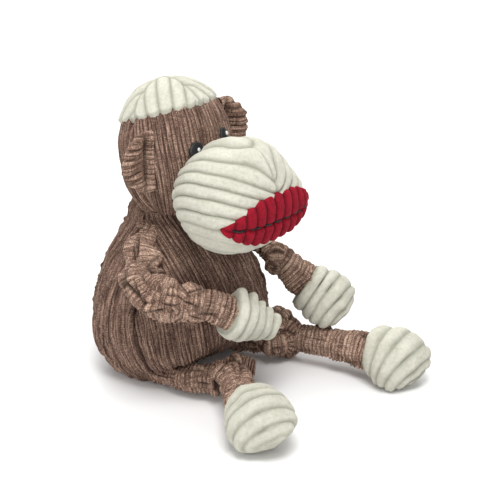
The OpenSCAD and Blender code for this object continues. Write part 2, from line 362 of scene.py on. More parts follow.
def radial(center, direction, inside, reach):
    """The point where each direction from the centre leaves the shape, by halving."""
    lo = np.zeros(direction.shape[:-1])
    hi = np.full(direction.shape[:-1], float(reach))
    for _ in range(22):
        mid = (lo + hi) / 2
        out = inside(center + direction * mid[..., None]) > 0
        hi = np.where(out, mid, hi)
        lo = np.where(out, lo, mid)
    return center + direction * lo[..., None]


def directions(phi, polar, lean):
    """Directions at an angle phi round an axis that leans back, and polar up from its lower end."""
    local = [np.sin(polar) * np.cos(phi), np.sin(polar) * np.sin(phi), -np.cos(polar) + 0 * phi]
    return untilted(np.stack(local, -1), vec(0, 0, 0), lean)


def facing_out(p, middle):
    """Normals of a grid, pointing away from the middle."""
    n = normals(p)
    i, j = p.shape[0] // 2, p.shape[1] // 2
    return -n if np.dot(n[i, j], p[i, j] - middle) < 0 else n


def bumps(p, list_of):
    """Sum of soft bumps: (place, height, width)."""
    h = 0
    for c, a, w in list_of:
        h = h + a * np.exp(-np.sum((p - vec(*c)) ** 2, -1) / (w * w))
    return h


def tilted(p, center, lean):
    """Points in the frame of an axis that leans back by that angle: x, y, z along the axis."""
    q = p - center
    c, s = math.cos(lean), math.sin(lean)
    return np.stack([q[..., 0], q[..., 1] * c - q[..., 2] * s, q[..., 1] * s + q[..., 2] * c], -1)


def untilted(q, center, lean):
    c, s = math.cos(lean), math.sin(lean)
    return center + np.stack([q[..., 0], q[..., 1] * c + q[..., 2] * s, -q[..., 1] * s + q[..., 2] * c], -1)


# ---- torso

TORSO_LEAN = math.radians(12)
BELLY = vec(0, 0, 44)
CHEST_H, SEAT_H, BELLY_R, COLLAR_R, COLLAR_H = 70, 52, 60, 27, 18
SEAM_FORWARD = math.radians(13)  # how far the side seams lie in front of the sides
SEAT_FRONT, SLOPE = -11, math.radians(38)  # where the flat seat ends, and how the belly rises from there
FINE_PITCH, FINE_SHARP = 3.0, 2.2
RIB_START = 500.0
TORSO_REACH = 110
ARMPIT = (60, -16, 72)
SEAT_RIM, SEAT_TUCK = math.radians(28), math.radians(2)
BELLY_BUMPS = [
    ((-48, 30, 22), 5.0, 26),
    ((48, 30, 22), 5.0, 26),
    ((0, 58, 60), 2.0, 30),
    ((-40, 10, 4), 3.0, 20),
    ((40, 10, 4), 3.0, 20),
]


def torso_inside(p):
    q = tilted(p, BELLY, TORSO_LEAN)
    z = q[..., 2]
    low = BELLY_R * np.clip(1 - np.abs(z / SEAT_H) ** 2.4, 0, 1) ** (1 / 2.4)
    mid = COLLAR_R + (BELLY_R - COLLAR_R) * (1 - np.clip(z / CHEST_H, 0, 1) ** 1.8)
    top = COLLAR_R * np.sqrt(np.clip(1 - ((z - CHEST_H) / COLLAR_H) ** 2, 0, 1))
    radius = np.where(z < 0, low, np.where(z < CHEST_H, mid, top))
    pear = np.hypot(q[..., 0], q[..., 1]) - radius
    pear = np.where(z < -SEAT_H, -z - SEAT_H + 5, pear)
    pear = np.where(z > CHEST_H + COLLAR_H, z - CHEST_H - COLLAR_H + 5, pear)
    floor = -p[..., 2]
    under = -((p[..., 1] - SEAT_FRONT) * math.sin(SLOPE) + p[..., 2] * math.cos(SLOPE))
    return smooth_max(smooth_max(pear, floor, 5), under, 7)


def torso_cloth(p, n, side, t):
    """Displaces the torso's surface as fine ribs with seams and folds; side is the front (-1) or back (1)."""
    q = tilted(p, BELLY, TORSO_LEAN)
    z = q[..., 2]
    rho = np.hypot(q[..., 0], q[..., 1])
    angle = np.arctan2(q[..., 0], side * q[..., 1])
    # the panels are cut flat: above the belly their ribs stay parallel and run out at the side seam
    wide = np.where(z > 0, np.clip(rho / BELLY_R, 0.3, 1) ** (0.95 if side < 0 else 0.55), 1.0)
    s = angle * BELLY_R * wide + RIB_START
    s = s + 0.9 * noise(p, 26) + 0.25 * noise(p, 7, 1)
    seam = (math.pi / 2 + side * SEAM_FORWARD - np.abs(angle)) * rho
    rib, groove_shade, k = ribs(s, FINE_PITCH, FINE_SHARP)
    luck = rib_luck(k + (7 if side < 0 else 301))
    slub = noise(np.stack([s, t * 0.45, 0 * s], -1), 2.6)
    h = 0.9 * rib * (0.4 + 0.8 * luck + 0.3 * slub) * smoothstep(0.0, 3.0, seam + 0.6)
    # the filling's lumps, large to small, then tufts of pile
    h = h + bumps(p, BELLY_BUMPS) + 1.3 * noise(p, 30, 1) + 0.6 * noise(p, 11, 2) + 0.2 * noise(p, 2.2)
    h = h + 1.6 * np.clip(noise(p, 3.4, 1) - 0.1, 0, 1)
    # the side seam is pulled in, with the cloth swelling beside it and painted shade along the seam
    h = h - 3.0 * near(seam, 0, 1.5) * smoothstep(4, 10, p[..., 2])
    h = h + 1.3 * near(seam, 4.5, 3.0)
    groove_shade = np.maximum(groove_shade, 0.9 * near(seam, 0, 1.0))
    # folds that run out from each armpit
    for sx in (-1, 1):
        dist = np.linalg.norm(p - vec(*ARMPIT) * vec(sx, 1, 1), axis=-1)
        near_pit = np.exp(-dist / 44) * smoothstep(3, 14, dist) * (q[..., 0] * sx > 0)
        h = h + 3.2 * np.sin(s * TAU / 12.5 + 2.6 * noise(p, 34, 2)) * near_pit
        h = h - 3.0 * np.exp(-((dist / 8) ** 2))
    # tucks over the hips and across the back
    tuck = near(z, -34 + 3 * noise(p, 22, 1), 2.0) * smoothstep(20, 42, np.abs(q[..., 0]))
    h = h - 1.8 * tuck
    h = h - 1.2 * near(z, -24, 2.0) * smoothstep(0.2, 0.8, noise(p, 40) + 0.4) * (side > 0)
    cloth = p + n * h[..., None]
    cloth[..., 2] = np.maximum(cloth[..., 2], 0.0)
    return cloth, s, groove_shade, luck


def torso_panel(side):
    """Half of the torso's cloth, from the seat's rim to the collar."""
    nu, nv = 560, 230
    u = np.linspace(0, 1, nu)[:, None]
    v = np.linspace(0, 1, nv)[None, :]
    lean_in = side * SEAM_FORWARD
    phi = (math.pi + 2 * lean_in) * u - lean_in + (math.pi if side < 0 else 0)
    polar = SEAT_RIM + np.radians(150) * v
    p = radial(BELLY, directions(phi, polar, TORSO_LEAN), torso_inside, TORSO_REACH)
    run = np.cumsum(np.linalg.norm(np.diff(p, axis=1), axis=-1), 1)
    t = np.concatenate([np.zeros((nu, 1)), run], 1)
    cloth, s, groove_shade, luck = torso_cloth(p, facing_out(p, BELLY), side, t)
    return sheet(cloth, s, t + 100 * side, groove_shade, luck, flip=True)


def torso_base():
    """The flat seat, with its ribs across, tucked under the rim of the two panels."""
    nu, nv = 200, 60
    phi = turn(nu)[:, None]
    polar = (SEAT_RIM + SEAT_TUCK) * np.linspace(0.02, 1, nv)[None, :]
    p = radial(BELLY, directions(phi, polar, TORSO_LEAN), torso_inside, TORSO_REACH)
    rib, groove_shade, k = ribs(p[..., 0] + RIB_START, FINE_PITCH, FINE_SHARP)
    p = p + vec(0, 0, 1) * (0.5 * (1 - rib))[..., None]
    p[..., 2] = np.maximum(p[..., 2], 0.0)
    return sheet(p, p[..., 0] + RIB_START, p[..., 1], groove_shade, rib_luck(k), wrap_u=True)


for name, grid, nodes in (
    ("torso_front", torso_panel(-1), ("front_panel", "torso_filling")),
    ("torso_back", torso_panel(1), ("back_panel",)),
    ("torso_seat", torso_base(), ("base_panel",)),
):
    add_mesh(name, [grid], "brown_corduroy", "torso", nodes)

# ---- head

HEAD = vec(0, 5, 165)
HEAD_TILT = math.radians(12)
HEAD_R, HEAD_PITCH, HEAD_REACH = 38, 3.1, 80


def head_inside(p):
    q = tilted(p, HEAD, HEAD_TILT)
    z = q[..., 2]
    e = 2.25  # a little squarer than an ellipse
    tall = np.where(z < 0, 56.0, 42.5)
    rise = smoothstep(-34, 34, z)
    depth = np.where(q[..., 1] > 0, 36.5 - 8.0 * rise, 36.5)
    half = 39.5 - 2.2 * rise
    egg = np.abs(q[..., 0] / half) ** e + np.abs(q[..., 1] / depth) ** e + np.abs(z / tall) ** e
    return smooth_max((egg ** (1 / e) - 1) * HEAD_R, -46 - z, 6)


def head_panel(side):
    """The brown face (-1) or back (1) of the head, up to just under the cap."""
    nu, nv = 420, 180
    start = math.pi if side < 0 else 0.0
    phi = np.linspace(start, start + math.pi, nu)[:, None]
    polar = math.radians(8) + math.radians(126) * np.linspace(0, 1, nv)[None, :]
    p = radial(HEAD, directions(phi, polar, HEAD_TILT), head_inside, HEAD_REACH)
    n = facing_out(p, HEAD)
    q = tilted(p, HEAD, HEAD_TILT)
    rho = np.hypot(q[..., 0], q[..., 1])
    s = np.arctan2(q[..., 0], side * q[..., 1]) * HEAD_R * (rho / HEAD_R) ** 0.35
    s = s + RIB_START + 0.6 * noise(p, 22, 1)
    rib, groove_shade, k = ribs(s, HEAD_PITCH, FINE_SHARP)
    luck = rib_luck(k + (11 if side < 0 else 401))
    seam = np.abs(q[..., 1])
    slub = noise(np.stack([s, q[..., 2] * 0.45, 0 * s], -1), 2.6)
    h = 0.95 * rib * (0.4 + 0.8 * luck + 0.35 * slub) * smoothstep(0, 2.5, seam + 0.5)
    h = h + 0.8 * noise(p, 20) + 0.4 * noise(p, 8, 1) + 0.22 * noise(p, 2.4, 2)
    h = h - 1.3 * near(seam, 0, 1.5)
    return sheet(p + n * h[..., None], s, q[..., 2] + 60, groove_shade, luck, flip=True)


CAP_SEAMS = 4
CAP_PITCH = 9.2
CAP_START = 50.5 * CAP_PITCH
CAP_RIM_R, CAP_RIM_Z = 34.5, 24.0
CAP_RIM_DROP = 36.1 * math.tan(math.radians(8))  # how much lower the rim lies behind
CAP_SCALLOP = 2.6
CAP_R = 44.0


def crown_cap():
    """The cream cap: four gores whose broad ribs meet in darts, with a scalloped rim over the brown."""
    nu, nv = 420, 96
    phi = turn(nu)
    gore = TAU / CAP_SEAMS
    inner = (phi + math.pi / 2) % gore - gore / 2
    rim_rib, _, _ = ribs(inner * CAP_RIM_R + CAP_START, CAP_PITCH, 3.0)
    rim_z = CAP_RIM_Z - CAP_RIM_DROP * np.sin(phi) - CAP_SCALLOP * rim_rib
    rim = math.pi - np.arctan2(CAP_RIM_R, rim_z)[:, None]
    v = np.linspace(0, 1, nv)[None, :]
    polar = rim + (math.pi - 0.004 - rim) * v
    p = radial(HEAD, directions(phi[:, None], polar, HEAD_TILT), head_inside, HEAD_REACH)
    n = normals(p, wrap_u=True)
    n = n * np.sign(np.sum(n * (p - HEAD), -1, keepdims=True))
    n = unit(0.6 * unit(p - HEAD) + 0.4 * n)
    q = tilted(p, HEAD, HEAD_TILT)
    rho = np.hypot(q[..., 0], q[..., 1])
    s = inner[:, None] * rho + CAP_START
    rib, groove_shade, k = ribs(s, CAP_PITCH, 3.6)
    luck = rib_luck(k + 77)
    to_seam = (gore / 2 - np.abs(inner))[:, None] * rho
    edge = v * (math.pi - rim) * CAP_R
    h = (1.6 + 1.5 * rib) * smoothstep(-0.5, 3.2, edge)
    h = h - 1.6 * near(to_seam, 0, 2.2) * smoothstep(2, 10, edge) * smoothstep(34, 24, edge)
    h = h + 0.9 * noise(p, 16) + 0.35 * noise(p, 5, 1) + 0.12 * noise(p, 1.6, 2)
    h = np.where(edge <= 0.01, -0.8, h)
    # painted shade along the darts between the gores
    groove_shade = np.maximum(groove_shade, 0.8 * near(to_seam, 0, 1.2))
    return sheet(p + n * h[..., None], s, edge, groove_shade, luck, wrap_u=True, flip=True)


add_mesh("head_face", [head_panel(-1)], "brown_corduroy", "head", ("face_panel", "head_filling"))
add_mesh("head_back", [head_panel(1)], "brown_corduroy", "head", ("back_head_panel",))
add_mesh("crown_cap_cloth", [crown_cap()], "cream_corduroy", "head", ("crown_cap",))

# ---- muzzle

MUZZLE = vec(0, -54.5, 140.3)
MUZZLE_HALF, MUZZLE_REACH = 42.5, 70
CHEEK_PITCH, CHEEK_START = 8.9, 875
PROFILE_AT = np.radians([-180, -120, -64, -39, -11, 17, 37, 62, 95, 140, 180])
PROFILE_R = vec(37, 37, 37.2, 35.8, 33.2, 34.2, 35.5, 36.5, 36.0, 36, 37)


def muzzle_inside(p):
    q = p - MUZZLE
    beta = np.arctan2(q[..., 2], -q[..., 1])
    radius = np.interp(beta, PROFILE_AT, PROFILE_R)
    full = 2 + 1.8 * near(np.degrees(beta), -12, 32)
    blunt = 2.7 - 1.15 * near(np.degrees(beta), 48, 42)
    rho = np.hypot(q[..., 1], q[..., 2])
    return np.abs(q[..., 0] / MUZZLE_HALF) ** blunt + (rho / radius) ** full - 1


def muzzle_point(lat, beta):
    """Muzzle surface at an angle lat to the side and an angle beta up from straight ahead."""
    d = np.stack([np.sin(lat), -np.cos(lat) * np.cos(beta), np.cos(lat) * np.sin(beta)], -1)
    return radial(MUZZLE, d, muzzle_inside, MUZZLE_REACH)


def muzzle_s(p):
    """Distance across the cheek's ribs, which droop towards the ridge in front and a little behind."""
    q = p - MUZZLE
    high = smoothstep(14, 36, q[..., 2])
    z = q[..., 2] + 1.0
    z = z + (16 - 13 * high) * np.clip(1 - np.abs(q[..., 0]) / 39, 0, 1) ** 1.15
    z = z + 4 * np.clip(q[..., 1] / 18, 0, 2) ** 2
    return 44 * np.arcsin(np.clip(z / 44, -0.99, 0.99)) - 5.0


def muzzle_panel(lat0, lat1, beta0, beta1, nu, nv):
    """A cream panel of the muzzle; its broad ribs fade below, and dip at the ridge where the cheeks meet."""
    v = np.linspace(0, 1, nv)[None, :]
    lat = np.linspace(lat0, lat1, nu)[:, None] + 0 * v
    beta = beta0 + (beta1 - beta0) * v + 0 * lat
    p = muzzle_point(lat, beta)
    s = muzzle_s(p) + 0.7 * noise(p, 24, 2)
    rib, groove_shade, k = ribs(s + CHEEK_START, CHEEK_PITCH, 2.8)
    q = p - MUZZLE
    weight = 1 - 0.72 * smoothstep(4, -22, q[..., 2])
    ridge = near(q[..., 0], 0, 1.3) * smoothstep(-2, 12, q[..., 2]) * smoothstep(33, 20, q[..., 2])
    h = 2.3 * rib * weight * (1 - 0.5 * ridge)
    h = h + 1.7 * near(q[..., 0], 0, 13) * smoothstep(0, 20, q[..., 2]) - 1.2 * ridge
    h = h + 0.8 * noise(p, 18) + 0.3 * noise(p, 5, 1) + 0.12 * noise(p, 1.5, 2)
    p = p + facing_out(p, MUZZLE) * h[..., None]
    # painted shade in the grooves, fading below, and along the ridge where the cheeks meet
    groove_shade = np.maximum(groove_shade * weight, 0.5 * ridge)
    return sheet(p, s, lat * 40 + 100, groove_shade, rib_luck(k + 31), flip=True)


LAT_END = math.radians(90)
MOUTH_SEAM = math.radians(-17)
for side, lat0, lat1 in (("right", -LAT_END, 0.0), ("left", 0.0, LAT_END)):
    grid = muzzle_panel(lat0, lat1, MOUTH_SEAM, math.radians(158), 150, 210)
    add_mesh("cheek_" + side, [grid], "cream_corduroy", "head", ("muzzle_cheek_" + side,))
grid = muzzle_panel(-LAT_END, LAT_END, math.radians(-202), MOUTH_SEAM, 260, 180)
add_mesh("chin_cloth", [grid], "cream_corduroy", "head", ("chin_panel", "muzzle_filling"))

LIPS_PITCH, LIPS_START = 7.8, 410
LIPS_R = 41  # turns an angle on the muzzle's front into a distance
LIPS_T = 50  # the cloth's t at the mouth
LIPS_END, MOUTH_END, MOUTH_ANGLE = 41.5, 42, -15
SCALLOP = 0.040  # angle by which the ribs' ends stand out over the lips' rim


def lip_line(x, angle, full, power, end=LIPS_END):
    """Angle of a line along the lips that stands off the mouth's corners by that angle in the middle."""
    return np.radians(MOUTH_ANGLE + angle * np.clip(1 - (np.abs(x) / end) ** full, 0, 1) ** power)


def lips():
    """Red lips: ribs up and down, scalloped ends, pulled in along the stitched mouth."""
    nu, nv = 360, 120
    x = 40.2 * np.sin(np.linspace(-1, 1, nu) * math.pi / 2 * 0.97)[:, None]
    v = np.linspace(0, 1, nv)[None, :]
    s = LIPS_R * np.arcsin(np.clip(x / 46, -1, 1)) + LIPS_START + 0 * v
    rib, groove_shade, k = ribs(s, LIPS_PITCH, 3.0)
    rim_rib, _, _ = ribs(s[:, :1], LIPS_PITCH, FINE_SHARP)
    up = lip_line(x, 33, np.where(x > 0, 4.0, 2.5), 0.85) + SCALLOP * rim_rib - 0.015
    lo = lip_line(x, -23, 2.6, 0.6) - SCALLOP * rim_rib + 0.015
    beta = lo + (up - lo) * v
    narrow = np.sqrt(np.clip(1 - (np.abs(x) / MUZZLE_HALF) ** 2.7, 0.02, 1)) + 0 * v
    p = muzzle_point(np.arctan2(x + 0 * v, 36.0 * narrow**0.5), beta)
    n = facing_out(p, MUZZLE)
    edge = np.minimum(up - beta, beta - lo) * LIPS_R
    half = (up - lo) * LIPS_R / 2
    from_mouth = (beta - lip_line(x, 2, 1.5, 1, MOUTH_END)) * LIPS_R
    from_middle = (beta - (up + lo) / 2) * LIPS_R
    arch = np.sqrt(np.clip(1 - (from_middle / np.maximum(half, 0.5)) ** 2, 0, 1))
    full = smoothstep(0, 12, half)
    h = 1.8 * smoothstep(0, 1.6, edge) + 2.2 * arch * full + 1.7 * rib * smoothstep(0.2, 3.0, edge)
    h = h - 2.4 * near(from_mouth, 0, 2.0) * full
    h = h + 0.4 * noise(p, 9) + 0.22 * noise(p, 3, 1) + 0.1 * noise(p, 1.3, 2)
    h = np.where(edge <= 0.02, -1.5, h)
    # painted shade along the pulled-in mouth line
    groove_shade = np.maximum(groove_shade, 0.35 * near(from_mouth, 0, 1.2))
    return sheet(p + n * h[..., None], s, from_mouth + LIPS_T, groove_shade, rib_luck(k + 99), flip=True), x[:, 0]


lip_grid, lip_x = lips()
add_mesh("lips_cloth", [lip_grid], "red_corduroy", "head", ("lips_panel",))

# ---- tubes


def smooth_path(points, count):
    """A Catmull-Rom curve through the points, evenly stepped."""
    pts = np.array(points, float)
    ext = np.concatenate([[2 * pts[0] - pts[1]], pts, [2 * pts[-1] - pts[-2]]])
    out = []
    for i in range(1, len(ext) - 2):
        a, b, c, d = ext[i - 1 : i + 3]
        t = np.linspace(0, 1, 40, endpoint=False)[:, None]
        bend, twist = 2 * a - 5 * b + 4 * c - d, 3 * b - a - 3 * c + d
        out.append(0.5 * ((2 * b) + (c - a) * t + bend * t**2 + twist * t**3))
    dense = np.concatenate(out + [ext[-2][None]])
    run = np.concatenate([[0], np.cumsum(np.linalg.norm(np.diff(dense, axis=0), axis=1))])
    at = np.linspace(0, run[-1], count)
    return np.stack([np.interp(at, run, dense[:, i]) for i in range(3)], -1), at


def frames(path, up, closed=False):
    """Tangent and two cross directions along the path, turned as little as possible."""
    if closed:
        tangent = unit(np.roll(path, -1, 0) - np.roll(path, 1, 0))
    else:
        tangent = unit(np.gradient(path, axis=0))
    side = np.zeros_like(path)
    a = np.array(up, float)
    for i, t in enumerate(tangent):
        a = unit(a - t * np.dot(a, t))
        side[i] = a
    return tangent, side, np.cross(tangent, side)


def profile(at, stops):
    """Smooth interpolation of a value along a length given as shares 0..1."""
    x = at / at[-1]
    xs = [k for k, _ in stops]
    ys = [v for _, v in stops]
    i = np.clip(np.searchsorted(xs, x, side="right") - 1, 0, len(xs) - 2)
    xa, xb = np.array(xs)[i], np.array(xs)[i + 1]
    ya, yb = np.array(ys, float)[i], np.array(ys, float)[i + 1]
    t = np.clip((x - xa) / (xb - xa), 0, 1)
    return ya + (yb - ya) * t * t * (3 - 2 * t)


LIMB_START, LIMB_FLOOR = 300, 0.15


def around_from(ang, at):
    """How far each angle round a tube is from that one."""
    return np.abs((ang - at + math.pi) % TAU - math.pi)


def tube(points, radii, flat, up, step, around, seed, pitch, amp, sharp, crumple, seam_at=None, tilt=0.0):
    """A limp sleeve along the points, its ribs running round it, crumpled by noise."""
    length = np.sum(np.linalg.norm(np.diff(np.array(points, float), axis=0), axis=1))
    path, at = smooth_path(points, max(12, int(length * 1.05 / step)))
    _, a, b = frames(path, up)
    r = profile(at, radii)[:, None]
    squeeze = profile(at, flat)[:, None] if isinstance(flat, list) else flat
    ang = turn(around)[None, :]
    ca, sa = np.cos(ang), np.sin(ang)
    off = a[:, None, :] * (ca * r * squeeze)[..., None] + b[:, None, :] * (sa * r)[..., None]
    p = path[:, None, :] + off
    n = unit(off + 1e-6)
    s = at[:, None] + tilt * sa * r + LIMB_START + seed * 10
    s = s + 0.5 * noise(p + seed, 12, 1)
    rib, groove_shade, k = ribs(s, pitch, sharp)
    luck = rib_luck(k + seed * 13)
    q = p + seed * 17.0
    # the cloth is gathered at the knots, so its folds run along the sleeve
    lengthwise = np.stack([at[:, None] * 0.4 + 0 * ang, ca * r * 1.1, sa * r * 1.1], -1) + seed * 11.0
    folds = crumple * (
        noise(q, 13) + 2.6 * np.abs(noise(lengthwise, 6.0, 1)) - 1.0 + 0.7 * noise(q, 5.0, 2)
    )
    crease = near(noise(lengthwise, 7.0, 2), 0, 0.14) * min(crumple, 1.6) * np.clip(0.6 + noise(q, 10), 0, 1)
    h = amp * rib * (0.6 + 0.55 * luck) + folds - 2.0 * crease
    # painted shade in the creases
    groove_shade = np.maximum(groove_shade, 0.8 * crease)
    if seam_at is not None:
        h = h + (0.5 + 1.5 * rib) * near(around_from(ang, seam_at), 0, 0.16) * min(1.0, amp * 1.6)
    return p + n * h[..., None], s, ang * r + 0 * s, groove_shade, luck, at, n


def closed_ends(p, s, t, groove_shade, tone):
    """A tube's grid with a point at each end, which closes it."""
    first, last = (np.repeat(q.mean(1, keepdims=True), p.shape[1], 1) for q in (p[:1], p[-1:]))
    rest = (np.concatenate([a[:1], a, a[-1:]]) for a in (s, t, groove_shade, tone))
    return sheet(np.concatenate([first, p, last]), *rest, wrap_v=True)


def sleeve(points, radii, flat, seed, crumple, around=110, seam_at=None, up=(0, 0, 1)):
    p, s, t, groove_shade, luck, _, n = tube(
        points, radii, flat, up, 0.55, around, seed, FINE_PITCH, 0.75, FINE_SHARP, crumple, seam_at
    )
    p = p + n * (0.15 * noise(p, 2.0, 2))[..., None]
    p[..., 2] = np.maximum(p[..., 2], LIMB_FLOOR)
    return closed_ends(p, s, t, groove_shade, luck)


def knot(center, size, strand, axis, spin, seed, crumple=1.3):
    """The sleeve tied on itself: one fat strand on an overhand path, so its turns press on each other."""
    t = turn(330)
    base = np.stack([np.sin(t) + 2 * np.sin(2 * t), np.cos(t) - 2 * np.cos(2 * t), -1.25 * np.sin(3 * t)], -1)
    z = unit(np.array(axis, float))
    x = unit(np.cross([0.3, 0.2, 1.0], z))
    y = np.cross(z, x)
    c, sn = math.cos(spin), math.sin(spin)
    x, y = x * c + y * sn, y * c - x * sn
    path = base[:, :1] * x + base[:, 1:2] * y + base[:, 2:] * z
    path = path * (size / 3.0)
    tangent, a, b = frames(path, (0.2, 0.1, 1.0), closed=True)
    # take out the twist that is left when the strand comes back to its start
    end = a[-1] - tangent[0] * np.dot(a[-1], tangent[0])
    twist = math.atan2(np.dot(end, b[0]), np.dot(end, a[0]))
    ease = (-twist * np.linspace(0, 1, len(t)))[:, None]
    a, b = a * np.cos(ease) + b * np.sin(ease), b * np.cos(ease) - a * np.sin(ease)
    ang = turn(72)[None, :]
    off = a[:, None, :] * (np.cos(ang) * strand)[..., None]
    off = off + b[:, None, :] * (np.sin(ang) * strand * 0.85)[..., None]
    p = path[:, None, :] + off + np.array(center)
    run = np.cumsum(np.linalg.norm(path - np.roll(path, 1, 0), axis=1))
    # a whole number of ribs, so that they meet where the strand closes
    s = (run / run[-1] * round(run[-1] / FINE_PITCH) * FINE_PITCH)[:, None] + LIMB_START + 0 * ang
    rib, groove_shade, k = ribs(s, FINE_PITCH, FINE_SHARP)
    luck = rib_luck(k + seed * 19)
    q = p + seed * 23.0
    h = 0.8 * rib * (0.6 + 0.5 * luck)
    h = h + crumple * (0.8 * noise(q, 9) + 1.5 * np.abs(noise(q, 5.5, 1)) - 0.75 + 0.45 * noise(q, 2.8, 2))
    crease = near(noise(q, 8, 2), 0, 0.14)
    h = h - 1.6 * crease
    # painted shade in the creases
    groove_shade = np.maximum(groove_shade, 0.8 * crease)
    p = p + unit(off) * h[..., None]
    p[..., 2] = np.maximum(p[..., 2], LIMB_FLOOR)
    return sheet(p, s, ang * strand, groove_shade, luck, wrap_u=True, wrap_v=True)


MITT_AROUND = 150


def mitt(points, radii, flat, up, seed, pitch, seams=(0.0, math.pi), lobes=3.0):
    """A cream hand or foot: broad ribs run round it, close as ovals at its end, and step at its seams."""
    p, _, t, _, _, at, n = tube(points, radii, flat, up, 0.7, MITT_AROUND, seed, pitch, 0.0, 3.0, 0.0)
    r = profile(at, radii)[:, None]
    ang = turn(MITT_AROUND)[None, :]
    # towards the end the rings turn over the tip, so they are spaced by the distance over the surface
    slope = np.gradient(r[:, 0], at)
    over = np.concatenate([[0], np.cumsum(np.sqrt(1 + slope[1:] ** 2) * np.diff(at))])
    s = over[:, None] + 3 * pitch + 0 * ang + 0.6 * noise(p + seed, 15)
    rib, groove_shade, k = ribs(s, pitch, 3.0)
    out = normals(p, wrap_v=True)
    out = out * np.sign(np.sum(out * n, -1, keepdims=True) + 1e-9)
    h = 1.8 * (rib - 0.35) * smoothstep(0.0, 2.5, at)[:, None] * smoothstep(0.0, 6.0, r)
    for seam in seams:
        from_seam = around_from(ang, seam) * np.maximum(r, 2)
        h = h + lobes * (rib - 0.5) * near(from_seam, 0, 4.8) * smoothstep(2, 8, r)
    h = h + 0.6 * noise(p + seed * 3, 13) + 0.3 * noise(p, 4.5, 1) + 0.12 * noise(p, 1.5, 2)
    p = p + out * h[..., None]
    p[..., 2] = np.maximum(p[..., 2], 0.0)
    # painted shade in the grooves, fading out at the tips
    return closed_ends(p, s, t, groove_shade * smoothstep(1, 5, r), rib_luck(k + seed * 7))


def fringe(line, up, tall):
    """A folded edge of the cloth: its ribs stand up and their raw ends stick out as uneven spikes."""
    path, at = smooth_path(line, 200)
    up = unit(vec(*up))
    out = unit(np.cross(unit(np.gradient(path, axis=0)), up))[:, None, :]
    v = np.linspace(0, 1, 26)[None, :]
    s = at[:, None] + 40 + 0 * v
    rib, groove_shade, k = ribs(s, 2.4, 1.6)
    luck = rib_luck(k + 211)
    spikes = 0.62 + 0.10 * np.sin(at / 5.0)[:, None] + 0.50 * rib * (0.25 + 0.75 * luck)
    height = tall * spikes * (v - 0.45)
    thick = 2.6 * np.sqrt(np.clip(1 - v**3, 0, 1)) * (0.5 + 0.5 * rib)
    thick = thick + 0.8 * noise(path, 6)[:, None] * (1 - v)
    sway = 2.4 * v**2 * np.sin(at / 7.0)[:, None]
    p = path[:, None, :] + up * height[..., None]
    return [
        sheet(p + out * (face * thick + sway)[..., None], s, height + 20, groove_shade, luck, flip=face > 0)
        for face in (-1, 1)
    ]


def oval_end(stops):
    """Radius stops that end round: the last share falls like an ellipse."""
    out = list(stops)
    x0, r0 = out[-1]
    for i in range(1, 9):
        f = math.sin(i / 8 * math.pi / 2)
        out.append((x0 + (1 - x0) * f, max(r0 * math.sqrt(max(0, 1 - f * f)), 0.05)))
    return out


# ---- arms

def limb_piece(name, side, grids, body=None):
    """A sleeve or knot, in the place of the CAD node of that name and side."""
    return add_mesh(
        name + "_" + side[0], grids, "brown_corduroy", body, (name + "_" + side,),
        material="limb_corduroy_lit",
    )


def blended(obj, a, b, start, end):
    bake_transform(obj)


